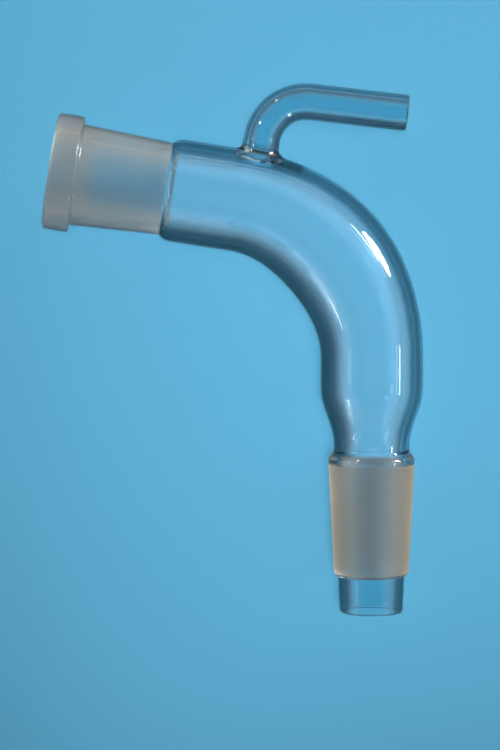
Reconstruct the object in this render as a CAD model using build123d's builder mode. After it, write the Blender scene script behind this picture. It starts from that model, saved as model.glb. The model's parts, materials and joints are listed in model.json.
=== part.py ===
# Vacuum take off adapter: one piece of blown borosilicate glass, lying on its side.
# A ground socket leads into a bent, slightly swollen body with a vacuum side arm on top.
# The body narrows to a neck, then opens to a ground cone with a drip tip.
import os
from math import atan2, cos, hypot, pi, radians, sin, tan

from build123d import *

# Ground joints: diameter at the large end, and the loss of diameter per length
joint_diameter = 24.0
joint_taper_share = 0.1

# Socket: outer wall parallel to the ground bore, with a thick rounded collar at the mouth
socket_length = 32.3
socket_wall = 2.45
collar_diameter = 32.3
collar_width = 7.4
collar_round_share = 0.46
lip_round_share = 0.25

# Shoulder between the socket and the body, outside and inside
shoulder_length = 1.2
bore_shoulder_length = 2.2
shoulder_round_share = 0.9

# Body tube: two straight runs and a bend that is blown a little wider in its middle
body_diameter = 28.4
body_wall = 2.3
upper_run = 18.5
lower_run = 8.3
seam_share = 0.4
bend_angle = 81.0
bend_radius = 44.4
bend_swell = 1.35

# Neck between the body and the cone, drawn in with a soft curve
neck_diameter = 21.0
neck_wall = 2.4
neck_length = 1.3
neck_taper_length = 15.7
flare_length = 2.9
curve_handle_share = 0.33

# Cone: the ground length, its wall and its rounded lower end
cone_length = 31.7
cone_wall = 2.5
cone_step_length = 0.9
cone_step_round_share = 0.65

# Drip tip below the cone
tip_top_diameter = 18.5
tip_end_diameter = 17.6
tip_length = 10.2
tip_wall = 1.4

# Side arm: a riser off the body, a bend and a straight end for a hose
arm_diameter = 10.0
arm_wall = 1.45
arm_setback = 4.2
riser_length = 3.5
riser_flare = 1.2
arm_bend_radius = 12.2
arm_angle = 87.6
hose_length = 26.9
weld_fillet = 1.5
hole_fillet = 0.6

# Fire polished rims, as a share of the wall that they round
rim_round_share = 0.4

# Sections drawn along the body's bend, and where on it the part rests when it lies down
bend_step_count = 8
rest_bend_share = 0.43

# Radii and lengths that follow from the sizes above
body_radius = body_diameter / 2
bore_radius = body_radius - body_wall
mouth_radius = joint_diameter / 2
collar_radius = collar_diameter / 2
neck_radius = neck_diameter / 2
taper_slope = joint_taper_share / 2
seam_run = body_radius * seam_share
bend_tangent = bend_radius * tan(radians(bend_angle / 2))
arm_radius = arm_diameter / 2


# Centreline: the axes of the two joints cross at the origin, and the cone points down
def outward(turn):
    """Unit vector from the centre of the bend to its centreline, at a turn in degrees."""
    return Vector(cos(radians(turn)), sin(radians(turn)))


def onward(turn):
    """Unit vector along the centreline, from the cone to the socket."""
    return Vector(-sin(radians(turn)), cos(radians(turn)))


def square_plane(turn, run):
    """Plane square to the centreline, at a turn of the bend and a run along its tangent."""
    bend_centre = Vector(-bend_radius, -bend_tangent)
    spot = bend_centre + outward(turn) * bend_radius + onward(turn) * run
    return Plane(origin=spot, x_dir=-outward(turn), z_dir=onward(turn))


def swell_at(bend_share):
    """How far the tube is blown wider, at a share of the way round the bend."""
    return bend_swell * sin(pi * bend_share) ** 2


def body_stations():
    """Planes along the body, each with how far the tube is blown wider there."""
    stations = [(square_plane(0, -seam_run), 0)]
    for step in range(bend_step_count + 1):
        bend_share = step / bend_step_count
        stations.append((square_plane(bend_angle * bend_share, 0), swell_at(bend_share)))
    stations.append((square_plane(bend_angle, seam_run), 0))
    return stations


# Leg planes: X is the radius, Y runs along the axis away from the body
cone_leg = Plane(origin=square_plane(0, -seam_run).origin, x_dir=outward(0), z_dir=(0, 0, -1))
socket_leg = Plane(origin=square_plane(bend_angle, seam_run).origin, x_dir=outward(bend_angle))
riser_leg = Plane(
    origin=square_plane(bend_angle, -arm_setback).origin,
    x_dir=-onward(bend_angle),
    y_dir=outward(bend_angle),
)

# Side arm centreline: square to the socket's axis, then over to the cone's side
riser_top = body_radius + riser_length
arm_tangent = arm_bend_radius * tan(radians(arm_angle / 2))
arm_corner = riser_leg.origin + riser_leg.y_dir * (riser_top + arm_tangent)
arm_end = arm_corner + outward(bend_angle - arm_angle) * (arm_tangent + hose_length)
arm_foot = Plane(origin=riser_leg.origin, x_dir=riser_leg.z_dir, z_dir=riser_leg.y_dir)
weld_centre = arm_foot.offset(body_radius).origin
hole_centre = arm_foot.offset(bore_radius).origin

# Socket section: distances along the leg, then radii
socket_foot = upper_run - seam_run + shoulder_length
socket_mouth = socket_foot + socket_length
collar_face = socket_mouth - collar_width
socket_foot_bore = mouth_radius - taper_slope * socket_length
socket_foot_radius = socket_foot_bore + socket_wall
collar_root_radius = mouth_radius - taper_slope * collar_width + socket_wall
shoulder_drop = body_radius - socket_foot_radius
shoulder_slant = hypot(shoulder_drop, shoulder_length)
shoulder_round = shoulder_slant * shoulder_round_share / tan(atan2(shoulder_drop, shoulder_length) / 2)
collar_round = abs(collar_radius - collar_root_radius) * collar_round_share

# Cone section: distances along the leg, then radii
body_foot = lower_run - seam_run
neck_top = body_foot + neck_taper_length
neck_foot = neck_top + neck_length
cone_top = neck_foot + flare_length
cone_foot = cone_top + cone_length
tip_top = cone_foot + cone_step_length
tip_end = tip_top + tip_length
cone_foot_radius = mouth_radius - taper_slope * cone_length
tip_top_radius = tip_top_diameter / 2
tip_end_radius = tip_end_diameter / 2


def soft_curve(start, finish):
    """Curve between two points of a section that leaves and arrives along the axis."""
    handle = (finish[1] - start[1]) * curve_handle_share
    return Bezier(start, (start[0], start[1] + handle), (finish[0], finish[1] - handle), finish)


with BuildPart() as blown_glass:
    # Bent body, solid at first
    for plane, swell in body_stations():
        with BuildSketch(plane):
            Circle(body_radius + swell)
    loft()

    # Side arm: a riser that widens to its foot, under one bent tube
    with BuildSketch(riser_leg):
        with BuildLine():
            Polyline(
                (arm_radius + riser_flare, bore_radius),
                (arm_radius + riser_flare, 0),
                (0, 0),
                (0, riser_top),
                (arm_radius, riser_top),
            )
            TangentArc((arm_radius, riser_top), (arm_radius + riser_flare, bore_radius), tangent=(0, -1))
        make_face()
    revolve(axis=Axis(riser_leg.origin, riser_leg.y_dir))
    weld = blown_glass.edges().filter_by(lambda edge: edge.is_closed).sort_by_distance(weld_centre)[0]
    fillet(weld, radius=weld_fillet)
    with BuildLine() as arm_path:
        FilletPolyline(arm_foot.origin, arm_corner, arm_end, radius=arm_bend_radius)
    with BuildSketch(arm_foot):
        Circle(arm_radius)
    sweep(path=arm_path.line)

    # Bore of the body, then of the arm, with the hole between them melted round
    for plane, swell in body_stations():
        with BuildSketch(plane):
            Circle(bore_radius + swell)
    loft(mode=Mode.SUBTRACT)
    with BuildSketch(arm_foot):
        Circle(arm_radius - arm_wall)
    sweep(path=arm_path.line, mode=Mode.SUBTRACT)
    hole = blown_glass.edges().filter_by(lambda edge: edge.is_closed).sort_by_distance(hole_centre)[0]
    fillet(hole, radius=hole_fillet)

    # Fire polished end of the arm
    arm_rim = blown_glass.faces().filter_by(GeomType.PLANE).sort_by_distance(arm_end)[0]
    fillet(arm_rim.edges(), radius=arm_wall * rim_round_share)

    # Socket leg, turned from the section of its glass
    with BuildSketch(socket_leg):
        with BuildLine():
            socket_outline = FilletPolyline(
                (body_radius, 0),
                (body_radius, socket_foot - shoulder_length),
                (socket_foot_radius, socket_foot),
                (collar_root_radius, collar_face),
                (collar_radius, collar_face),
                (collar_radius, socket_mouth),
                (mouth_radius, socket_mouth),
                (socket_foot_bore, socket_foot),
                (bore_radius, socket_foot - bore_shoulder_length),
                (bore_radius, 0),
                radius=(
                    shoulder_round,
                    0,
                    collar_round,
                    collar_round,
                    collar_round,
                    socket_wall * lip_round_share,
                    socket_wall * lip_round_share,
                    socket_wall * lip_round_share,
                ),
            )
            Line(socket_outline @ 1, socket_outline @ 0)
        make_face()
    revolve(axis=Axis(socket_leg.origin, socket_leg.y_dir))

    # Cone leg, turned from the section of its glass
    with BuildSketch(cone_leg):
        with BuildLine():
            Line((body_radius, 0), (body_radius, body_foot))
            soft_curve((body_radius, body_foot), (neck_radius, neck_top))
            Line((neck_radius, neck_top), (neck_radius, neck_foot))
            soft_curve((neck_radius, neck_foot), (mouth_radius, cone_top))
            tip_rim = tip_wall * rim_round_share
            cone_step = hypot(cone_foot_radius - tip_top_radius, cone_step_length)
            cone_outline = FilletPolyline(
                (mouth_radius, cone_top),
                (cone_foot_radius, cone_foot),
                (tip_top_radius, tip_top),
                (tip_end_radius, tip_end),
                (tip_end_radius - tip_wall, tip_end),
                (tip_top_radius - tip_wall, tip_top),
                (cone_foot_radius - cone_wall, cone_foot),
                (mouth_radius - cone_wall, cone_top),
                radius=(cone_step * cone_step_round_share, tip_rim, tip_rim, tip_rim, cone_step, cone_step),
            )
            soft_curve((mouth_radius - cone_wall, cone_top), (neck_radius - neck_wall, neck_foot))
            Line((neck_radius - neck_wall, neck_foot), (neck_radius - neck_wall, neck_top))
            soft_curve((neck_radius - neck_wall, neck_top), (bore_radius, body_foot))
            Polyline((bore_radius, body_foot), (bore_radius, 0), (body_radius, 0))
        make_face()
    revolve(axis=Axis(cone_leg.origin, cone_leg.y_dir))

# Lying at rest, it touches the table at the foot of the body, the bend and the collar
body_rest = square_plane(0, -lower_run).origin - Vector(0, 0, body_radius)
bend_rest = square_plane(bend_angle * rest_bend_share, 0).origin
bend_rest -= Vector(0, 0, body_radius + swell_at(rest_bend_share))
collar_rest = socket_leg.origin + socket_leg.y_dir * (collar_face + collar_round)
collar_rest -= Vector(0, 0, collar_radius)
table_up = (bend_rest - body_rest).cross(collar_rest - body_rest).normalized()
table_across = Vector(0, 1, 0).cross(table_up).normalized()
table = Plane(origin=body_rest, x_dir=table_across, z_dir=table_up)
lying_glass = table.to_local_coords(blown_glass.part)
lying_box = lying_glass.bounding_box()

with BuildPart() as glass_adapter:
    with Locations((-lying_box.center().X, -lying_box.center().Y, -lying_box.min.Z)):
        add(lying_glass)

os.makedirs("parts", exist_ok=True)
glass_adapter.part.label = "glass_adapter"
export_step(glass_adapter.part, "parts/glass_adapter.step")
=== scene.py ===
# %% [markdown]
# # A vacuum take off adapter in clear glass
# The real thing is one blown piece: a ground socket, a bent and slightly swollen body, a side arm for a
# vacuum hose, a drawn neck, a ground cone and a drip tip. This lesson loads the measured model as a fixed
# frame and then makes a finer skin of the same form, because glass shows every facet of a coarse mesh.

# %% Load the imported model
import json
from math import acos, asin, atan2, cos, hypot, pi, radians, sin, tan

import bmesh
import bpy
import numpy as np
from mathutils import Matrix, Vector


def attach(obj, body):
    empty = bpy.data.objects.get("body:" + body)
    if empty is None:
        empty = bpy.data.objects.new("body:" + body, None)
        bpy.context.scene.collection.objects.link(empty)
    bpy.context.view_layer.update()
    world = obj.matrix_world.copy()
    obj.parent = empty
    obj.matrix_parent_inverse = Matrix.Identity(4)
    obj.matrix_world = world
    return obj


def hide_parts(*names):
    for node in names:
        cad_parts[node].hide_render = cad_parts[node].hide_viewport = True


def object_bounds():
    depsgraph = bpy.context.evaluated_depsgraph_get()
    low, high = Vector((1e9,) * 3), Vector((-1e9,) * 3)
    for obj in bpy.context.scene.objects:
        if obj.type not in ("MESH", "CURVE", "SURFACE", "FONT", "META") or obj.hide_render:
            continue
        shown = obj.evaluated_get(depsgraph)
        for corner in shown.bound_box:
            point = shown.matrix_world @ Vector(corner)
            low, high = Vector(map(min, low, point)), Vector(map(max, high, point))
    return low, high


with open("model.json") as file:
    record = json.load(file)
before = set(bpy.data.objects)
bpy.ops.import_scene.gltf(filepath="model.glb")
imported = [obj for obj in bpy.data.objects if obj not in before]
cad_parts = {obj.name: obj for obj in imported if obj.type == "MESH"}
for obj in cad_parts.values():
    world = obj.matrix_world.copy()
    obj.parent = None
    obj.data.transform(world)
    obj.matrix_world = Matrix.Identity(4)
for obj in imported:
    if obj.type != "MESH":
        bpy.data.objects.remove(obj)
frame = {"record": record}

cad_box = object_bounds()
cad_corners = [[round(value, 4) for value in corner] for corner in cad_box]
print("measured model, lowest and highest corner:", cad_corners)

# %% [markdown]
# ## The adapter's own axes
# The adapter lies tilted on the table, so its sizes are easiest to give along its own axes: Y up the cone's
# axis, X across in the plane of the bend and Z out of that plane. The two ground joints in the record have
# exact axes, so the frame is worked out from them and nothing is fitted by eye.

# %% Axes from the two ground joints
MM = 0.001
mounts = {mount["name"]: mount for mount in frame["record"]["mounts"]}
cone_down = np.array(mounts["cone_joint"]["axis"])
socket_out = np.array(mounts["socket_joint"]["axis"])
plane_up = np.cross(cone_down, socket_out)
plane_up /= np.linalg.norm(plane_up)
plane_up *= np.sign(plane_up[2])
own_axes = np.array([np.cross(-cone_down, plane_up), -cone_down, plane_up])
bend_angle = 90 - np.degrees(asin(float(own_axes[1] @ socket_out)))
print("the socket turns", round(bend_angle, 2), "degrees away from the cone's axis")

# %% [markdown]
# ## Centreline
# The body is a tube along a bent line: straight, an arc, then straight again. A curve object with a bevel
# could draw it, but not with a wall and a bore that change along the way. Here one measure, the distance
# from the socket's mouth, says where on the line a ring of the skin stands. At each place the ring needs a
# centre and the direction that points away from the centre of the bend. All sizes are the driving sizes of
# the part's source, in millimetres, and each is given where it is first needed.

# %% Lengths along the centreline, in millimetres
socket_length = 32.3
shoulder_length = 1.2
upper_run = 18.5
bend_radius = 44.4
lower_run = 8.3
neck_taper_length = 15.7
neck_length = 1.3
flare_length = 2.9
cone_length = 31.7
cone_step_length = 0.9
tip_length = 10.2

bend_tangent = bend_radius * tan(radians(bend_angle / 2))
bend_centre = np.array([-bend_radius, -bend_tangent, 0.0])
cone_top_drop = lower_run + neck_taper_length + neck_length + flare_length
crossing = np.array(mounts["cone_joint"]["pos_m"]) - cone_down * (bend_tangent + cone_top_drop) * MM
print("the axes of the joints cross at", np.round(crossing, 4))

# %% Distances from the socket's mouth
shoulder_end = socket_length + shoulder_length
bend_start = shoulder_end + upper_run
bend_stop = bend_start + bend_radius * radians(bend_angle)
body_foot = bend_stop + lower_run
neck_top = body_foot + neck_taper_length
neck_foot = neck_top + neck_length
cone_top = neck_foot + flare_length
cone_foot = cone_top + cone_length
tip_top = cone_foot + cone_step_length
tip_end = tip_top + tip_length
print("the bend runs from", round(bend_start, 2), "to", round(bend_stop, 2), "mm from the mouth")


# %% Where a ring stands on the centreline
def outward(turn):
    """Unit vectors from the centre of the bend, at a turn in degrees."""
    turn = np.radians(turn)
    return np.stack([np.cos(turn), np.sin(turn), np.zeros_like(turn)], axis=-1)


def onward(turn):
    """Unit vectors along the centreline, towards the socket."""
    turn = np.radians(turn)
    return np.stack([-np.sin(turn), np.cos(turn), np.zeros_like(turn)], axis=-1)


def bend_share(along):
    """How far round the bend a place is, from 0 at the socket's end to 1 at the cone's end."""
    return np.clip((along - bend_start) / (bend_stop - bend_start), 0, 1)


def centreline(along):
    """Centres and outward directions at distances from the socket's mouth."""
    turn = bend_angle * (1 - bend_share(along))
    run = np.maximum(bend_start - along, 0) - np.maximum(along - bend_stop, 0)
    return bend_centre + outward(turn) * bend_radius + onward(turn) * run[..., None], outward(turn)


end_centres, _ = centreline(np.array([0.0, tip_end]))
print("the mouth and the tip end at", np.round(end_centres, 1).tolist(), "mm in the adapter's own axes")

# %% [markdown]
# ## Section of the wall
# Cut lengthwise, the wall is one closed outline: down the outside from the mouth to the drip tip, round the
# tip's rim and back up the bore. A modelling kernel would fillet the corners. Here each corner becomes a
# few points on an arc, and long straight stretches are divided, so that the rings of the skin lie close.

# %% Helpers for rounded corners of points (distance, radius)
ARC_STEPS = 8


def rounded(before, corner, after, radius):
    """Points on the arc that rounds a corner."""
    before, corner, after = (np.array(spot, float) for spot in (before, corner, after))
    if radius == 0:
        return [corner]
    back = (before - corner) / np.linalg.norm(before - corner)
    forth = (after - corner) / np.linalg.norm(after - corner)
    half_angle = acos(float(back @ forth)) / 2
    middle = (back + forth) / np.linalg.norm(back + forth)
    centre = corner + middle * radius / sin(half_angle)
    start = corner + back * radius / tan(half_angle) - centre
    finish = corner + forth * radius / tan(half_angle) - centre
    first = atan2(start[1], start[0])
    sweep = (atan2(finish[1], finish[0]) - first + pi) % (2 * pi) - pi
    angles = first + sweep * np.linspace(0, 1, ARC_STEPS + 1)
    return [centre + radius * np.array([cos(angle), sin(angle)]) for angle in angles]


def outline(corners, rounds):
    """Points of an open outline whose inner corners are rounded."""
    points = [np.array(corners[0], float)]
    for before, corner, after, radius in zip(corners, corners[1:], corners[2:], rounds):
        points += rounded(before, corner, after, radius)
    return points + [np.array(corners[-1], float)]


print("a rounded corner has", len(rounded((0, 1), (0, 0), (1, 0), 0.5)), "points")

# %% Helpers for long stretches
LATHE_GAP = 1.2
BODY_GAP = 1.0
CURVE_POINTS = 26
curve_handle_share = 0.33
bend_swell = 1.35


def divided(points, gap):
    """The same outline with no two neighbours further apart than gap."""
    dense = [points[0]]
    for here, there in zip(points, points[1:]):
        count = max(1, int(np.ceil(np.linalg.norm(there - here) / gap)))
        dense += [here + (there - here) * step / count for step in range(1, count + 1)]
    return dense


def soft_curve(start, finish):
    """Points of a curve that leaves and arrives along the axis."""
    start, finish = np.array(start, float), np.array(finish, float)
    handle = np.array([(finish[0] - start[0]) * curve_handle_share, 0])
    share = np.linspace(0, 1, CURVE_POINTS)[:, None]
    points = start * (1 - share) ** 3 + finish * share**3
    points += 3 * (start + handle) * share * (1 - share) ** 2
    points += 3 * (finish - handle) * share**2 * (1 - share)
    return list(points)


def body_run(first, last, radius):
    """Points along the body, which is blown a little wider in the middle of its bend."""
    along = np.linspace(first, last, int(np.ceil(abs(last - first) / BODY_GAP)) + 1)
    return list(np.stack([along, radius + bend_swell * np.sin(pi * bend_share(along)) ** 2], axis=1))


print("rings stand up to", LATHE_GAP, "mm apart on the turned ends and", BODY_GAP, "mm on the body")

# %% [markdown]
# ## Socket
# The socket is a tapered cup, ground inside to take a cone of the same taper. A thick collar keeps its
# mouth from chipping, and a round shoulder leads to the wider body. It could be turned by itself with a
# Screw modifier, but glass shows a seam between two pieces, so it is a stretch of the one outline.

# %% Sizes of the socket
joint_diameter = 24.0
joint_taper_share = 0.1
socket_wall = 2.45
collar_diameter = 32.3
collar_width = 7.4
collar_round_share = 0.46
lip_round_share = 0.25
body_diameter = 28.4
body_wall = 2.3
bore_shoulder_length = 2.2
shoulder_round_share = 0.9

taper = joint_taper_share / 2
mouth_radius = joint_diameter / 2
body_radius = body_diameter / 2
bore_radius = body_radius - body_wall
collar_radius = collar_diameter / 2
collar_root_radius = mouth_radius - taper * collar_width + socket_wall
socket_foot_bore = mouth_radius - taper * socket_length
socket_foot_radius = socket_foot_bore + socket_wall
print("the socket's bore narrows from", mouth_radius, "to", round(socket_foot_bore, 2), "mm in radius")

# %% Outlines of the socket
BODY_MARGIN = 6.0
collar_round = (collar_radius - collar_root_radius) * collar_round_share
lip_round = socket_wall * lip_round_share
lip_radius = mouth_radius + lip_round * 2
shoulder_drop = body_radius - socket_foot_radius
shoulder_half_turn = atan2(shoulder_drop, shoulder_length) / 2
shoulder_round = hypot(shoulder_drop, shoulder_length) * shoulder_round_share / tan(shoulder_half_turn)
bore_shoulder_end = socket_length + bore_shoulder_length
socket_outside = outline(
    [
        (0, lip_radius),
        (0, collar_radius),
        (collar_width, collar_radius),
        (collar_width, collar_root_radius),
        (socket_length, socket_foot_radius),
        (shoulder_end, body_radius),
        (shoulder_end + BODY_MARGIN, body_radius),
    ],
    [collar_round, collar_round, collar_round, 0, shoulder_round],
)
socket_inside = outline(
    [
        (bore_shoulder_end + BODY_MARGIN, bore_radius),
        (bore_shoulder_end, bore_radius),
        (socket_length, socket_foot_bore),
        (0, mouth_radius),
        (0, lip_radius),
    ],
    [lip_round, lip_round, lip_round],
)
print("the shoulder is rounded with a radius of", round(shoulder_round, 2), "mm")

# %% [markdown]
# ## Neck, cone and tip
# Below the bend the tube is drawn in to a neck and flares again to the ground cone. The tip under it lets
# drops fall clear of the joint. Drawn glass has no corners, so the neck and the flare are curves that leave
# and arrive along the axis. The cone and the tip are turned forms, with a small round at each corner.

# %% Sizes of the neck, the cone and the tip
neck_diameter = 21.0
neck_wall = 2.4
cone_wall = 2.5
cone_step_round_share = 0.65
tip_top_diameter = 18.5
tip_end_diameter = 17.6
tip_wall = 1.4
rim_round_share = 0.4

neck_radius = neck_diameter / 2
neck_bore = neck_radius - neck_wall
cone_foot_radius = mouth_radius - taper * cone_length
cone_foot_bore = cone_foot_radius - cone_wall
tip_top_radius = tip_top_diameter / 2
tip_end_radius = tip_end_diameter / 2
print("the cone narrows from", mouth_radius, "to", round(cone_foot_radius, 2), "mm in radius")

# %% Outline of the cone and the tip
cone_step = hypot(cone_foot_radius - tip_top_radius, cone_step_length)
cone_round = cone_step * cone_step_round_share
tip_round = tip_wall * rim_round_share
cone_and_tip = outline(
    [
        (cone_top, mouth_radius),
        (cone_foot, cone_foot_radius),
        (tip_top, tip_top_radius),
        (tip_end, tip_end_radius),
        (tip_end, tip_end_radius - tip_wall),
        (tip_top, tip_top_radius - tip_wall),
        (cone_foot, cone_foot_bore),
        (cone_top, mouth_radius - cone_wall),
    ],
    [cone_round, tip_round, tip_round, tip_round, cone_step, cone_step],
)
print("the tip's rim is rounded with a radius of", round(tip_round, 2), "mm")

# %% The closed section, stretch by stretch
SAME_POINT = 0.001
stretches = [
    ("socket outside", divided(socket_outside, LATHE_GAP)),
    ("body outside", body_run(shoulder_end + BODY_MARGIN, body_foot, body_radius)),
    ("neck outside", soft_curve((body_foot, body_radius), (neck_top, neck_radius))),
    ("flare outside", soft_curve((neck_foot, neck_radius), (cone_top, mouth_radius))),
    ("cone and tip", divided(cone_and_tip, LATHE_GAP)),
    ("flare bore", soft_curve((cone_top, mouth_radius - cone_wall), (neck_foot, neck_bore))),
    ("neck bore", soft_curve((neck_top, neck_bore), (body_foot, bore_radius))),
    ("body bore", body_run(body_foot, bore_shoulder_end + BODY_MARGIN, bore_radius)),
    ("socket bore", divided(socket_inside, LATHE_GAP)),
]
section, stretch_names = [], []
for name, points in stretches:
    for point in points:
        if not section or np.linalg.norm(point - section[-1]) > SAME_POINT:
            section.append(point)
            stretch_names.append(name)
if np.linalg.norm(section[0] - section[-1]) < SAME_POINT:
    section.pop()
    stretch_names.pop()
tube_along, tube_radius = np.array(section).T
stretch_names = np.array(stretch_names)
print("the section has", len(section), "points and the tube is", round(tip_end, 1), "mm long")

# %% [markdown]
# ## Skin of the tube
# Turning the section round the bent centreline gives rings of points. Neighbouring rings are joined by
# quads. The skin closes on itself, since the section is a closed outline: outside and bore are one surface.

# %% Rings of the tube
AROUND = 128
Z_AXIS = np.array([0.0, 0.0, 1.0])
around = np.arange(AROUND) * 2 * pi / AROUND
centres, outs = centreline(tube_along)
spokes = np.cos(around)[None, :, None] * outs[:, None, :] + np.sin(around)[None, :, None] * Z_AXIS
tube_points = centres[:, None, :] + tube_radius[:, None, None] * spokes
tube_index = np.arange(len(section) * AROUND).reshape(-1, AROUND)
print("the tube has", tube_index.size, "points")

# %% [markdown]
# ## Painted shade on the bends, and thick glass
# The glass is tinted darker on the inside of each bend and over the drip tip. That is painted shade: the
# measured wall is even, so the form stays as it is. Each point carries a number, from 0 on the outside of
# the bend to 1 on its inside, which the glass reads later to paint that shade. In the socket's bore it is 1
# under the thick collar and fades to 0 beside it.

# %% A number for painted shade and thickness at each point of the tube
TIP_PAINTED_SHADE = 0.55
COLLAR_FADE = 9.0
on_tip = (tube_along > cone_foot)[:, None]
in_socket = ((stretch_names == "socket bore") & (tube_along < socket_length))[:, None]
under_collar = np.clip(1 - (tube_along - collar_width) / COLLAR_FADE, 0, 1)[:, None]
# Painted shade: 1 on the inside of the bend and a middle number on the drip tip tint the glass darker
# there.
tube_thickness_and_shade = np.where(on_tip, TIP_PAINTED_SHADE, (1 - np.cos(around)[None, :]) / 2)
tube_thickness_and_shade = np.where(in_socket, under_collar, tube_thickness_and_shade)
print("the socket's bore has", int(in_socket.sum()), "rings, and its number fades over", COLLAR_FADE, "mm")

# %% [markdown]
# ## Side arm and its weld
# On the bench the arm is a second tube, melted onto a hole in the body, so the glass flows in a round
# hollow from one to the other. A boolean would leave long thin triangles there, which sparkle wrongly in
# glass. Instead a rectangle of quads is left out of the body, and rings lead from its edge up to the arm.
# Each of their points slides onto a smooth sum of the two tubes, which rounds the corner where they meet.

# %% Sizes and place of the riser
arm_diameter = 10.0
arm_wall = 1.45
arm_setback = 4.2
riser_length = 3.5
riser_flare = 1.2

arm_radius = arm_diameter / 2
arm_bore = arm_radius - arm_wall
riser_top = body_radius + riser_length
bore_top = bore_radius + riser_length
flare_drop = riser_top - bore_radius
flare_radius = (riser_flare**2 + flare_drop**2) / (2 * riser_flare)
riser_up, riser_side = outward(bend_angle), -onward(bend_angle)
riser_origin = bend_centre + riser_up * bend_radius + riser_side * arm_setback
print("the riser flares to its foot with a radius of", round(flare_radius, 1), "mm")


# %% Distances to the body and to the riser
def body_distance(points, radius):
    """Distance from points to the skin of the bent tube."""
    offset = points - bend_centre
    turn = np.clip(np.degrees(np.arctan2(offset[..., 1], offset[..., 0])), 0, bend_angle)
    off_line = np.sum(offset * outward(turn), axis=-1) - bend_radius
    swell = bend_swell * np.sin(pi * turn / bend_angle) ** 2
    return np.hypot(off_line, offset[..., 2]) - radius - swell


def riser_distance(points, radius, flares):
    """Distance from points to the skin of the riser, which may widen to its foot."""
    offset = points - riser_origin
    drop = np.clip(riser_top - offset @ riser_up, 0, flare_drop)
    widening = flare_radius - np.sqrt(flare_radius**2 - drop**2) if flares else 0
    return np.hypot(offset @ riser_side, offset[..., 2]) - radius - widening


riser_height = body_distance(riser_origin + riser_up * riser_top, body_radius)
print("the riser stands", round(float(riser_height), 2), "mm out of the body")

# %% The weld, as one distance to both
weld_fillet = 1.5
hole_fillet = 0.6
SETTLE_ROUNDS = 12
NUDGE = 1e-4


def melted(one, other, fillet):
    """Distance to two shapes that are joined with a round hollow between them."""
    hollow = np.hypot(np.maximum(fillet - one, 0), np.maximum(fillet - other, 0))
    return np.maximum(fillet, np.minimum(one, other)) - hollow


def outside_distance(points):
    """Distance from points to the outer skin of the weld."""
    return melted(body_distance(points, body_radius), riser_distance(points, arm_radius, True), weld_fillet)


def bore_distance(points):
    """Distance from points to the hole between the two bores."""
    return melted(body_distance(points, bore_radius), riser_distance(points, arm_bore, False), hole_fillet)


def settled(points, distance):
    """The points, slid onto the surface where the distance is zero."""
    for _ in range(SETTLE_ROUNDS):
        slopes = []
        for step in np.eye(3) * NUDGE:
            slopes.append((distance(points + step) - distance(points - step)) / (2 * NUDGE))
        slope = np.stack(slopes, axis=-1)
        points = points - slope * (distance(points) / np.sum(slope**2, axis=-1))[..., None]
    return points


weld_corner = riser_origin + riser_up * body_radius + riser_side * arm_radius
weld_slide = np.linalg.norm(settled(weld_corner[None, :], outside_distance) - weld_corner)
print("a point in the corner of the weld slides out by", round(float(weld_slide), 2), "mm")


# %% Quads left out of the body for the weld
def cut_out(stretch, half_rings, half_around):
    """Marks a rectangle of quads on a stretch of the body, and gives the points round its edge."""
    rows = np.flatnonzero(stretch_names == stretch)
    nearest = rows[np.argmin(abs(tube_along[rows] - bend_start - arm_setback))]
    low, high = nearest - half_rings, nearest + half_rings
    columns = np.arange(-half_around, half_around + 1)
    edge = [(low, column) for column in columns[:-1]]
    edge += [(row, columns[-1]) for row in range(low, high)]
    edge += [(high, column) for column in columns[:0:-1]]
    edge += [(row, columns[0]) for row in range(high, low, -1)]
    edge_index = np.array([tube_index[row, column % AROUND] for row, column in edge])
    cut = {(row, column % AROUND) for row in range(low, high) for column in columns[:-1]}
    return cut, edge_index


weld_cut, weld_edge = cut_out("body outside", half_rings=9, half_around=12)
hole_cut, hole_edge = cut_out("body bore", half_rings=6, half_around=15)
print("left out:", len(weld_cut), "quads outside and", len(hole_cut), "in the bore")

# %% Rings of the weld, outside and in the bore
WELD_RINGS = 16
ANGLE_SLACK = 0.001


def weld_rings(edge_index, top, radius, distance):
    """Leads rings from the edge of a cut to the arm, and gives the edge in their order."""
    offset = tube_points.reshape(-1, 3)[edge_index] - riser_origin
    azimuth = np.arctan2(offset[:, 2], offset @ riser_side)
    order = np.argsort((azimuth + ANGLE_SLACK) % (2 * pi))
    edge_index, azimuth, offset = edge_index[order], azimuth[order], offset[order]
    reach, height = np.hypot(offset[:, 2], offset @ riser_side), offset @ riser_up
    share = (np.arange(1, WELD_RINGS + 1) / WELD_RINGS)[:, None]
    corner_height = np.sqrt((top - riser_length) ** 2 - (radius * np.sin(azimuth)) ** 2)
    bend_in, rise = 2 * share * (1 - share), share**2
    ring_reach = reach * (1 - share) ** 2 + radius * (bend_in + rise)
    ring_height = height * (1 - share) ** 2 + corner_height * bend_in + top * rise
    spot = riser_origin + ring_height[..., None] * riser_up
    spot = spot + (ring_reach * np.cos(azimuth))[..., None] * riser_side
    spot = spot + (ring_reach * np.sin(azimuth))[..., None] * Z_AXIS
    spot[:-1] = settled(spot[:-1], distance)
    return spot, edge_index, azimuth


weld_points, weld_edge, weld_azimuth = weld_rings(weld_edge, riser_top, arm_radius, outside_distance)
hole_points, hole_edge, hole_azimuth = weld_rings(hole_edge, bore_top, arm_bore, bore_distance)
print("weld rings have", weld_points.shape[1], "points outside and", hole_points.shape[1], "in the bore")

# %% [markdown]
# ## Arm tube
# The arm goes up, bends over and ends in a plain straight stretch for a hose. Its own section is an open
# outline: up the outside, round the fire polished rim and back down the bore. The rings start with the
# angles of the weld's points, so that the two meet point to point, and become even along the bend.

# %% Section of the arm
arm_bend_radius = 12.2
arm_angle = 87.6
hose_length = 26.9
ARM_GAP = 0.8

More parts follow.
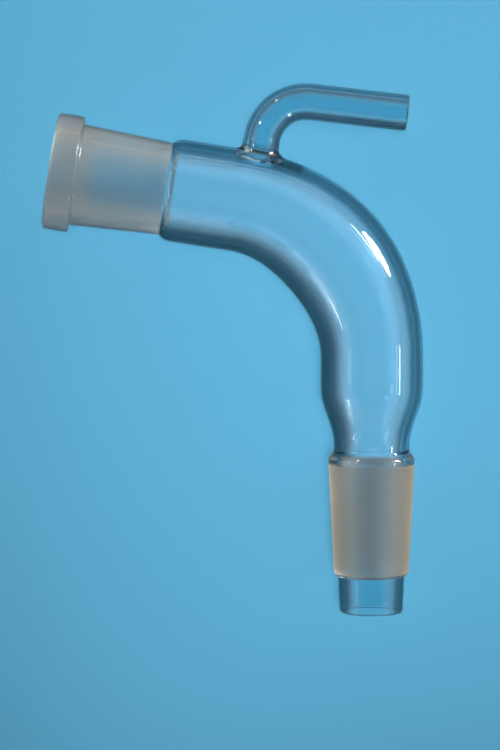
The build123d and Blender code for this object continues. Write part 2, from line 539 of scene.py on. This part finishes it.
arm_turn_length = arm_bend_radius * radians(arm_angle)
arm_straight = riser_top + arm_turn_length
arm_length = arm_straight + hose_length
rim_round = arm_wall * rim_round_share
arm_outline = outline(
    [(riser_top, arm_radius), (arm_length, arm_radius), (arm_length, arm_bore), (bore_top, arm_bore)],
    [rim_round, rim_round],
)
arm_along, arm_radii = np.array(divided(arm_outline, ARM_GAP)[1:-1]).T
rim_start = int(np.argmax(arm_along))
print("the arm ends", round(arm_length, 1), "mm from the body's centreline, measured along its own")


# %% Rings of the arm
def evened(azimuth, share):
    """Angles that go over from those of a weld's edge to even steps, as share goes from 0 to 1."""
    even = np.arange(len(azimuth)) * 2 * pi / len(azimuth)
    drift = (azimuth - even + pi) % (2 * pi) - pi
    return even + drift * (1 - share)


arm_turn = np.clip((arm_along - riser_top) / arm_bend_radius, 0, radians(arm_angle))
arm_turn = bend_angle - np.degrees(arm_turn)
arm_run = np.minimum(arm_along - riser_top, 0) + np.maximum(arm_along - arm_straight, 0)
arm_pivot = riser_origin + riser_up * riser_top + riser_side * arm_bend_radius
arm_side = -onward(arm_turn)
arm_centres = arm_pivot - arm_side * arm_bend_radius + outward(arm_turn) * arm_run[:, None]
arm_azimuth = []
for row, share in enumerate(np.clip((arm_along - riser_top) / arm_turn_length, 0, 1)):
    arm_azimuth.append(evened(weld_azimuth if row < rim_start else hole_azimuth, share))
arm_azimuth = np.array(arm_azimuth)
arm_spokes = np.cos(arm_azimuth)[..., None] * arm_side[:, None, :] + np.sin(arm_azimuth)[..., None] * Z_AXIS
arm_points = arm_centres[:, None, :] + arm_radii[:, None, None] * arm_spokes
print("the arm has", arm_points.shape[0], "rings of", arm_points.shape[1], "points")

# %% [markdown]
# ## One closed mesh
# All rings go into one mesh. The ground faces get materials of their own: thin where the wall behind the
# frost is thin, in the socket, and thick at the collar and the cone. So do the narrow bores of the arm and
# the tip. A check counts the edges that don't have two faces, and gives the volume of the glass to compare
# with the measured model.

# %% Finish of each ring of the tube
OUTSIDE, INSIDE, NARROW, GROUND_THIN, GROUND_THICK = range(5)
GROUND_MARGIN = 0.6
tip_rim_row = int(np.argmax(tube_along))


def finish_of(row):
    """The material of the quads between a ring of the tube and the next one."""
    along = (tube_along[row] + tube_along[(row + 1) % len(section)]) / 2
    stretch = stretch_names[row]
    on_bore, on_socket = row > tip_rim_row, along < socket_length
    if stretch == "socket bore" and on_socket:
        return GROUND_THICK if along < collar_width else GROUND_THIN
    if stretch == "cone and tip" and not on_bore and cone_top + GROUND_MARGIN < along < cone_foot:
        return GROUND_THICK
    if on_bore and along > cone_foot:
        return NARROW
    if on_bore or stretch == "socket outside" and on_socket:
        return INSIDE
    return OUTSIDE


row_finish = [finish_of(row) for row in range(len(section))]
print("rings with each finish:", np.bincount(row_finish).tolist())

# %% Quads of the tube
quads, quad_finish = [], []
for row in range(len(section)):
    next_row = (row + 1) % len(section)
    for column in range(AROUND):
        if (row, column) in weld_cut or (row, column) in hole_cut:
            continue
        next_column = (column + 1) % AROUND
        corners = ((row, column), (row, next_column), (next_row, next_column), (next_row, column))
        quads.append([int(tube_index[corner]) for corner in corners])
        quad_finish.append(row_finish[row])
print("the tube has", len(quads), "quads")

# %% Quads of the weld and the arm
skin_points = [tube_points.reshape(-1, 3)]
skin_thickness_and_shade = [tube_thickness_and_shade.reshape(-1)]


def add_rings(points, azimuth):
    """Adds rings of points to the skin and gives their numbers."""
    first = sum(len(block) for block in skin_points)
    skin_points.append(points.reshape(-1, 3))
    # Painted shade: the number is 1 on the side of the arm towards the inside of its bend, where the glass
    # is tinted darker.
    skin_thickness_and_shade.append(np.broadcast_to((1 + np.cos(azimuth)) / 2, points.shape[:2]).reshape(-1))
    return [first + np.arange(points.shape[1]) + ring * points.shape[1] for ring in range(points.shape[0])]


def join_rings(rings, finish):
    """Quads between each ring and the next."""
    for ring, next_ring in zip(rings, rings[1:]):
        for here in range(len(ring)):
            there = (here + 1) % len(ring)
            quads.append([int(ring[here]), int(ring[there]), int(next_ring[there]), int(next_ring[here])])
            quad_finish.append(finish)


weld_index = add_rings(weld_points, weld_azimuth)
hole_index = add_rings(hole_points, hole_azimuth)
arm_index = add_rings(arm_points, arm_azimuth)
join_rings([weld_edge] + weld_index + arm_index[: rim_start + 1], OUTSIDE)
join_rings(arm_index[rim_start:] + hole_index[::-1] + [hole_edge], NARROW)
print("with the weld and the arm there are", len(quads), "quads")

# %% Mesh of the glass
THICKNESS_AND_SHADE = "thickness_and_shade"
all_points = crossing + np.concatenate(skin_points) @ own_axes * MM
glass_mesh = bpy.data.meshes.new("blown_glass")
glass_mesh.from_pydata(all_points.tolist(), [], quads)
glass_mesh.polygons.foreach_set("material_index", quad_finish)
shaper = bmesh.new()
shaper.from_mesh(glass_mesh)
bmesh.ops.recalc_face_normals(shaper, faces=shaper.faces)
open_edges = sum(1 for edge in shaper.edges if len(edge.link_faces) != 2)
glass_volume = shaper.calc_volume(signed=True) / MM**3
shaper.to_mesh(glass_mesh)
shaper.free()
glass_mesh.shade_smooth()
thickness_and_shade = glass_mesh.attributes.new(THICKNESS_AND_SHADE, "FLOAT", "POINT")
thickness_and_shade.data.foreach_set("value", np.concatenate(skin_thickness_and_shade).astype(np.float32))
print("the mesh has", open_edges, "open edges and holds", round(glass_volume, 1), "cubic mm")

# %% The glass, in the place of the measured piece
scene = bpy.context.scene
blown_glass = bpy.data.objects.new("blown_glass", glass_mesh)
scene.collection.objects.link(blown_glass)
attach(blown_glass, "root")
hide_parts("glass_adapter")
print(blown_glass.name, "takes the place of the measured glass_adapter")

# %% [markdown]
# ## Marks of the workshop
# Blown glass is never quite even: the flame leaves slow waves in the wall. A ground joint has a fine grain
# instead, from the grit that cut it. Both are noise at different sizes, so one shader node group makes them
# and each material sets how coarse and how fine its marks are. The group gives a height for bump and a
# mottle for colour and gloss.

# %% Node group for flame waves and grit marks
def worked_surface_group():
    """Noise at two sizes, mixed into a height and a mottle."""
    group = bpy.data.node_groups.new("worked_surface", "ShaderNodeTree")
    for name, value in (("Wave Scale", 60), ("Grit Scale", 900), ("Grit Share", 0.2)):
        socket = group.interface.new_socket(name, in_out="INPUT", socket_type="NodeSocketFloat")
        socket.default_value = value
    for name in ("Height", "Mottle"):
        group.interface.new_socket(name, in_out="OUTPUT", socket_type="NodeSocketFloat")
    nodes, links = group.nodes, group.links
    entry, exit_node = nodes.new("NodeGroupInput"), nodes.new("NodeGroupOutput")
    place = nodes.new("ShaderNodeTexCoord")
    waves, grit = nodes.new("ShaderNodeTexNoise"), nodes.new("ShaderNodeTexNoise")
    waves.inputs["Detail"].default_value = 1.5
    grit.inputs["Detail"].default_value = 3
    for noise, scale in ((waves, "Wave Scale"), (grit, "Grit Scale")):
        links.new(place.outputs["Object"], noise.inputs["Vector"])
        links.new(entry.outputs[scale], noise.inputs["Scale"])
    blend = nodes.new("ShaderNodeMix")
    links.new(entry.outputs["Grit Share"], blend.inputs["Factor"])
    links.new(waves.outputs["Fac"], blend.inputs["A"])
    links.new(grit.outputs["Fac"], blend.inputs["B"])
    links.new(blend.outputs["Result"], exit_node.inputs["Height"])
    contrast = nodes.new("ShaderNodeMapRange")
    contrast.inputs["From Min"].default_value = 0.35
    contrast.inputs["From Max"].default_value = 0.65
    links.new(blend.outputs["Result"], contrast.inputs["Value"])
    links.new(contrast.outputs["Result"], exit_node.inputs["Mottle"])
    return group


worked_surface = worked_surface_group()
print("node group", worked_surface.name, "has", len(worked_surface.nodes), "nodes")

# %% [markdown]
# ## Glass
# Clear glass takes its look from refraction. Light that crosses the wall at a slant goes through more
# glass, and the edges look dark teal; here that dark teal is mostly painted shade, a tint that darkens the
# glass where it is crossed at a slant. Absorption inside the body could give the slant part, but this body
# has faces of more than one material, and a ray that enters by one and leaves by another would keep the
# wrong tint. So the tint sits on the surface and follows the angle, with a darker ramp of painted shade for
# the inside of each bend and the tip, and a bluer, darker one of painted shade for narrow bores. Lamps have
# to reach the table through the glass, so shadow rays meet a see-through shader that is darker at the
# edges.

# %% Helpers for tints of painted shade and light
def new_material(name):
    """A material with its nodes, its links, its Principled shader and its output."""
    material = bpy.data.materials.new(name)
    material.use_nodes = True
    nodes = material.node_tree.nodes
    return material, nodes, material.node_tree.links, nodes["Principled BSDF"], nodes["Material Output"]


def colour_ramp(nodes, links, factor, stops):
    """A ramp from (place, colour) stops, driven by a factor."""
    ramp = nodes.new("ShaderNodeValToRGB")
    elements = ramp.color_ramp.elements
    for place, colour in stops[1:-1]:
        elements.new(place).color = (*colour, 1)
    elements[0].position, elements[-1].position = stops[0][0], stops[-1][0]
    elements[0].color, elements[-1].color = (*stops[0][1], 1), (*stops[-1][1], 1)
    links.new(factor, ramp.inputs["Fac"])
    return ramp.outputs["Color"]


def painted_slant_light(nodes, links, slant_stops, thick_and_shade_stops):
    """Painted shade and light: a colour that follows the angle of view, with stops of its own where the
    mesh's number is high, on the inside of bends, the tip and under the collar.
    """
    facing = nodes.new("ShaderNodeLayerWeight").outputs["Facing"]
    tint = colour_ramp(nodes, links, facing, slant_stops)
    if not thick_and_shade_stops:
        return tint
    thickness_and_shade_attribute = nodes.new("ShaderNodeAttribute")
    thickness_and_shade_attribute.attribute_name = THICKNESS_AND_SHADE
    share = nodes.new("ShaderNodeMapRange")
    share.inputs["From Min"].default_value = 0.2
    share.inputs["From Max"].default_value = 0.8
    links.new(thickness_and_shade_attribute.outputs["Fac"], share.inputs["Value"])
    mixed = nodes.new("ShaderNodeMix")
    mixed.data_type = "RGBA"
    links.new(share.outputs["Result"], mixed.inputs["Factor"])
    links.new(tint, mixed.inputs["A"])
    links.new(colour_ramp(nodes, links, facing, thick_and_shade_stops), mixed.inputs["B"])
    return mixed.outputs["Result"]


print("tints read the number", THICKNESS_AND_SHADE, "from the mesh")


# %% Helpers for lamps and marks
def let_lamps_through(nodes, links, shader, output, stops):
    """Shadow rays see a shader that is clear where it faces them and dark at its edges."""
    path = nodes.new("ShaderNodeLightPath")
    facing = nodes.new("ShaderNodeLayerWeight")
    clear = nodes.new("ShaderNodeBsdfTransparent")
    links.new(colour_ramp(nodes, links, facing.outputs["Facing"], stops), clear.inputs["Color"])
    mix = nodes.new("ShaderNodeMixShader")
    links.new(path.outputs["Is Shadow Ray"], mix.inputs[0])
    links.new(shader.outputs[0], mix.inputs[1])
    links.new(clear.outputs[0], mix.inputs[2])
    links.new(mix.outputs[0], output.inputs["Surface"])


def marks(nodes, links, shader, wave_scale, grit_scale, grit_share, depth):
    """Places the worked surface in a material, as bump of a depth in metres, and gives its mottle."""
    surface = nodes.new("ShaderNodeGroup")
    surface.node_tree = worked_surface
    surface.inputs["Wave Scale"].default_value = wave_scale
    surface.inputs["Grit Scale"].default_value = grit_scale
    surface.inputs["Grit Share"].default_value = grit_share
    bump = nodes.new("ShaderNodeBump")
    bump.inputs["Strength"].default_value = 1
    bump.inputs["Distance"].default_value = depth
    links.new(surface.outputs["Height"], bump.inputs["Height"])
    links.new(bump.outputs["Normal"], shader.inputs["Normal"])
    return surface.outputs["Mottle"]


def gloss_range(nodes, links, shader, mottle, least, most):
    """Roughness that follows the mottle, between two limits."""
    gloss = nodes.new("ShaderNodeMapRange")
    gloss.inputs["To Min"].default_value = least
    gloss.inputs["To Max"].default_value = most
    links.new(mottle, gloss.inputs["Value"])
    links.new(gloss.outputs["Result"], shader.inputs["Roughness"])


GLASS_INDEX = 1.47
print("the glass bends light with an index of", GLASS_INDEX)


# %% Clear glass
def clear_glass(name, slant_stops, shadow_stops, thick_and_shade_stops=None):
    """Fire polished glass, with painted shade that darkens it where it is crossed at a slant."""
    material, nodes, links, shader, output = new_material(name)
    shader.inputs["IOR"].default_value = GLASS_INDEX
    shader.inputs["Transmission Weight"].default_value = 1.0
    links.new(painted_slant_light(nodes, links, slant_stops, thick_and_shade_stops), shader.inputs["Base Color"])
    mottle = marks(nodes, links, shader, wave_scale=70, grit_scale=700, grit_share=0.1, depth=0.04 * MM)
    gloss_range(nodes, links, shader, mottle, least=0.0, most=0.03)
    let_lamps_through(nodes, links, shader, output, shadow_stops)
    return material


# Painted shade: the ramp darkens the outer skin to dark teal where it is crossed at a slant.
outside_edge_shade = [
    (0.0, (1.0, 1.0, 1.0)),
    (0.1, (0.97, 0.98, 0.985)),
    (0.2, (0.82, 0.88, 0.9)),
    (0.34, (0.7, 0.79, 0.82)),
    (0.48, (0.62, 0.72, 0.76)),
    (0.6, (0.52, 0.63, 0.68)),
    (0.8, (0.5, 0.61, 0.66)),
    (1.0, (0.6, 0.7, 0.74)),
]
# Painted shade: this darker ramp is used on the inside of the bends, on the arm and on the tip.
bend_and_tip_shade = [
    (0.0, (1.0, 1.0, 1.0)),
    (0.1, (0.97, 0.97, 0.97)),
    (0.2, (0.64, 0.64, 0.64)),
    (0.29, (0.34, 0.32, 0.32)),
    (0.36, (0.25, 0.235, 0.23)),
    (0.5, (0.2, 0.195, 0.195)),
    (0.8, (0.16, 0.165, 0.17)),
    (1.0, (0.3, 0.34, 0.36)),
]
outside_shadow = [
    (0.0, (1.0, 1.0, 1.0)),
    (0.25, (0.98, 0.985, 0.99)),
    (0.45, (0.84, 0.88, 0.9)),
    (0.7, (0.62, 0.68, 0.71)),
    (1.0, (0.45, 0.52, 0.56)),
]
clear_outside = clear_glass("clear_outside", outside_edge_shade, outside_shadow, bend_and_tip_shade)
print("clear glass for the outside:", clear_outside.name)

# %% Clear glass of the bores
# Painted shade: the ramp darkens the bores where they are crossed at a slant.
inside_edge_shade = [
    (0.0, (1.0, 1.0, 1.0)),
    (0.3, (0.96, 0.98, 0.985)),
    (0.55, (0.7, 0.78, 0.82)),
    (0.75, (0.3, 0.4, 0.45)),
    (1.0, (0.12, 0.2, 0.25)),
]
# Painted shade: the narrow bores of the arm and the tip are tinted bluer and darker, even where they are
# crossed straight on.
narrow_bore_shade = [
    (0.0, (0.45, 0.78, 0.85)),
    (0.3, (0.45, 0.76, 0.83)),
    (0.55, (0.4, 0.6, 0.66)),
    (0.75, (0.25, 0.37, 0.42)),
    (1.0, (0.12, 0.2, 0.25)),
]
inside_shadow = [(0.0, (1.0, 1.0, 1.0)), (0.5, (0.95, 0.96, 0.97)), (1.0, (0.5, 0.56, 0.6))]
clear_inside = clear_glass("clear_inside", inside_edge_shade, inside_shadow)
shaded_narrow_bore = clear_glass("shaded_narrow_bore", narrow_bore_shade, inside_shadow)
print("clear glass for the bores:", clear_inside.name, shaded_narrow_bore.name)

# %% [markdown]
# ## Ground joints
# The joints are ground with grit until they are matt, so that they seal. Frost scatters the light: straight
# on it still lets the blue of the table through, and at a slant it is milky. A rough Principled shader that
# is only partly see-through does that, and a ramp over the angle paints light into its colour: blue grey
# straight on, for the table seen through it, and warm beige at a slant, for warm light from the sides.
# Beside the collar the thin frost of the socket goes over to the thick one.

# %% Ground glass
def ground_glass(name, see_through, slant_stops, thick_and_shade_stops=None):
    """Frosted glass with painted light in its colour: blue grey where it is looked at straight, milky and
    warm at a slant.
    """
    material, nodes, links, shader, output = new_material(name)
    shader.inputs["IOR"].default_value = GLASS_INDEX
    shader.inputs["Transmission Weight"].default_value = see_through
    mottle = marks(nodes, links, shader, wave_scale=400, grit_scale=2600, grit_share=0.6, depth=0.05 * MM)
    frost_painted_light = painted_slant_light(nodes, links, slant_stops, thick_and_shade_stops)
    grain = colour_ramp(nodes, links, mottle, [(0.0, (0.9, 0.9, 0.9)), (1.0, (1.0, 1.0, 1.0))])
    grain_and_painted_light = nodes.new("ShaderNodeMix")
    grain_and_painted_light.data_type, grain_and_painted_light.blend_type = "RGBA", "MULTIPLY"
    grain_and_painted_light.inputs["Factor"].default_value = 1
    links.new(frost_painted_light, grain_and_painted_light.inputs["A"])
    links.new(grain, grain_and_painted_light.inputs["B"])
    links.new(grain_and_painted_light.outputs["Result"], shader.inputs["Base Color"])
    gloss_range(nodes, links, shader, mottle, least=0.42, most=0.55)
    shadow_stops = [(0.0, (0.78, 0.8, 0.8)), (1.0, (0.3, 0.34, 0.36))]
    let_lamps_through(nodes, links, shader, output, shadow_stops)
    return material


# Painted light: blue for the table seen through the frost, warm beige for warm light from the sides.
thin_frost_painted_light = [(0.0, (0.17, 0.37, 0.5)), (0.15, (0.3, 0.38, 0.41)), (0.45, (0.53, 0.46, 0.38))]
thick_frost_painted_light = [(0.0, (0.3, 0.37, 0.4)), (0.3, (0.4, 0.35, 0.28)), (1.0, (0.62, 0.47, 0.29))]
ground_thin = ground_glass("ground_thin", 0.6, thin_frost_painted_light, thick_frost_painted_light)
ground_thick = ground_glass("ground_thick", 0.65, thick_frost_painted_light)
for material in (clear_outside, clear_inside, shaded_narrow_bore, ground_thin, ground_thick):
    glass_mesh.materials.append(material)
    print("finish", material.name)

# %% [markdown]
# ## Table
# The backdrop of the photograph is a plain pale blue, and it stays so through the middle of the glass.
# Glass becomes readable at its edges, where the wall bends the view far aside to something darker. A matt
# floor looks the same from every side and can't give that. This one is a satin sheet, like lacquered metal:
# it mirrors a large soft lamp to the camera, and a dimmer room to any ray that is bent away from the lamp.

# %% Floor
FLOOR_HALF = 1.5
floor_corners = [(-FLOOR_HALF, -FLOOR_HALF, 0), (FLOOR_HALF, -FLOOR_HALF, 0)]
floor_corners += [(FLOOR_HALF, FLOOR_HALF, 0), (-FLOOR_HALF, FLOOR_HALF, 0)]
floor_mesh = bpy.data.meshes.new("floor")
floor_mesh.from_pydata(floor_corners, [], [(0, 1, 2, 3)])
floor = bpy.data.objects.new("floor", floor_mesh)
scene.collection.objects.link(floor)
floor_paint = bpy.data.materials.new("floor_paint")
floor_paint.use_nodes = True
paint = floor_paint.node_tree.nodes["Principled BSDF"]
paint.inputs["Base Color"].default_value = (0.13, 0.51, 0.82, 1)
paint.inputs["Metallic"].default_value = 0.8
paint.inputs["Roughness"].default_value = 0.22
floor_mesh.materials.append(floor_paint)
print("the floor is", 2 * FLOOR_HALF, "m wide and has the finish", floor_paint.name)

# %% [markdown]
# ## Camera
# The photograph looks almost squarely at the plane of the bend, a few degrees from above, so the mouth of
# the arm and the foot of the cone show a little of their roundness. Here the adapter lies down, and the
# camera looks down on it along the same line.

# %% Camera at the photograph's angle
VIEW_CENTRE = (-33.8, -42.6, 0.0)
CAMERA_TILT = 5.0
CAMERA_DISTANCE = 1.0
FRAME_HEIGHT = 208.1
aim = crossing + np.array(VIEW_CENTRE) @ own_axes * MM
view_back = own_axes[2] * cos(radians(CAMERA_TILT)) + own_axes[1] * sin(radians(CAMERA_TILT))
view_up = np.cross(view_back, own_axes[0])
camera = bpy.data.cameras.new("camera")
camera.sensor_fit = "VERTICAL"
camera.sensor_height = 36
camera.lens = camera.sensor_height * CAMERA_DISTANCE / (FRAME_HEIGHT * MM)
camera.clip_end = 10
camera_holder = bpy.data.objects.new("camera", camera)
camera_place = Matrix.Identity(4)
for column, axis in enumerate((own_axes[0], view_up, view_back, aim + view_back * CAMERA_DISTANCE)):
    for row in range(3):
        camera_place[row][column] = axis[row]
camera_holder.matrix_world = camera_place
scene.collection.objects.link(camera_holder)
scene.camera = camera_holder
scene.view_settings.view_transform = "Standard"
print("camera with a lens of", round(camera.lens, 1), "mm")

# %% [markdown]
# ## Bounces
# The walls of a tube throw light back and forth, and each throw counts as a bounce. The usual limits leave
# black arcs at the weld, so they are raised. Bounced light is clamped harder than usual, because from some
# sides the floor shows a lamp through the glass, and its image would burn out.

# %% Limits on bounced light
scene.cycles.max_bounces = 32
scene.cycles.glossy_bounces = 16
scene.cycles.transmission_bounces = 24
scene.cycles.sample_clamp_indirect = 3
print("up to", scene.cycles.max_bounces, "bounces, clamped at", scene.cycles.sample_clamp_indirect)

# %% [markdown]
# ## Lamps
# Glass is often photographed before one large even light, with a window or two for the streaks that show
# how the wall curves. The table glow is the large light. It stands where the floor mirrors it to the
# camera, and leans a little to one side. Aimed rays from the floor to it would stop at the glass and leave
# a false dark patch, so it is found by rays that bounce off the floor instead. Light linking is the
# studio's black flag: the glow reaches the floor alone, and the small lamps reach the glass alone.

# %% Helper for soft lamps
DAYLIGHT = (1, 0.98, 0.95)
LAMPLIGHT = (1, 0.86, 0.7)


def softbox(name, azimuth, elevation, distance, size, power, colour=DAYLIGHT):
    """An area lamp that faces the adapter from a direction in degrees."""
    lamp = bpy.data.lights.new(name, "AREA")
    lamp.shape = "RECTANGLE"
    lamp.size, lamp.size_y = size
    lamp.energy = power
    lamp.color = colour
    holder = bpy.data.objects.new(name, lamp)
    turn = Matrix.Rotation(radians(azimuth), 4, "Z") @ Matrix.Rotation(radians(90 - elevation), 4, "Y")
    holder.matrix_world = Matrix.Translation(aim) @ turn @ Matrix.Translation((0, 0, distance))
    scene.collection.objects.link(holder)
    return holder


print("lamps face the point", np.round(aim, 3))

# %% Large lamp that the floor mirrors
GLOW_LEAN = 4.0
glow_x = np.degrees(atan2(-view_back[0], view_back[2])) + GLOW_LEAN
glow_y = np.degrees(atan2(-view_back[1], view_back[2])) + GLOW_LEAN
glow_azimuth = np.degrees(atan2(glow_y, glow_x))
glow_elevation = 90 - hypot(glow_x, glow_y)
glow = softbox("table_glow", glow_azimuth, glow_elevation, distance=4.0, size=(1.8, 1.8), power=10.3)
glow.data.cycles.use_multiple_importance_sampling = False
glow.visible_transmission = False
only_floor = bpy.data.collections.new("only_floor")
only_floor.objects.link(floor)
glow.light_linking.receiver_collection = only_floor
print("the table glow stands at an elevation of", round(glow_elevation, 1), "degrees")

# %% Lamps that only the glass sees
STREAK_DISTANCE = 1.0
overhead = softbox("overhead", -100, 74, distance=1.2, size=(0.3, 0.3), power=1.5)
overhead.visible_glossy = False
overhead.visible_transmission = False
window = softbox("window", 28, 9, STREAK_DISTANCE, size=(0.22, 0.36), power=9)
window.data.shape = "ELLIPSE"
glass_lamps = [overhead, window]
streaks = [
    ("window_edge", 34, 19, (0.06, 0.32), 1.0, DAYLIGHT),
    ("far_window", 214, 27, (0.02, 0.2), 0.3, DAYLIGHT),
    ("left_strip", 176, 30, (0.06, 0.3), 1.0, DAYLIGHT),
    ("right_strip", -8, 26, (0.05, 0.16), 0.45, DAYLIGHT),
    ("back_strip", 90, 2.5, (0.03, 1.4), 0.3, LAMPLIGHT),
    ("sparkle_0", 120, 25, (0.06, 0.06), 1.0, DAYLIGHT),
    ("sparkle_1", 150, 45, (0.06, 0.06), 1.0, DAYLIGHT),
    ("sparkle_2", -60, 30, (0.06, 0.06), 1.0, DAYLIGHT),
]
for name, azimuth, elevation, size, power, colour in streaks:
    glass_lamps.append(softbox(name, azimuth, elevation, STREAK_DISTANCE, size, power, colour))
only_glass = bpy.data.collections.new("only_glass")
only_glass.objects.link(blown_glass)
for lamp in glass_lamps:
    lamp.light_linking.receiver_collection = only_glass
print(len(glass_lamps), "lamps light the glass alone")

# %% [markdown]
# ## Room
# The room is a pale blue near the horizon and dark overhead. From a low viewpoint the floor mirrors the
# pale walls. From above, the dark ceiling keeps the crown of the glass free of a milky veil.

# %% World
room_tones = [
    (0.0, (0.85, 0.92, 0.96)),
    (0.36, (0.7, 0.81, 0.88)),
    (0.54, (0.5, 0.58, 0.62)),
    (0.7, (0.25, 0.26, 0.26)),
    (0.85, (0.13, 0.12, 0.11)),
]
world = bpy.data.worlds.new("studio")
world.use_nodes = True
nodes, links = world.node_tree.nodes, world.node_tree.links
direction = nodes.new("ShaderNodeTexCoord")
height = nodes.new("ShaderNodeSeparateXYZ")
links.new(direction.outputs["Generated"], height.inputs["Vector"])
room = colour_ramp(nodes, links, height.outputs["Z"], room_tones)
links.new(room, nodes["Background"].inputs["Color"])
scene.world = world
print("the room has", len(room_tones), "tones from the horizon up")
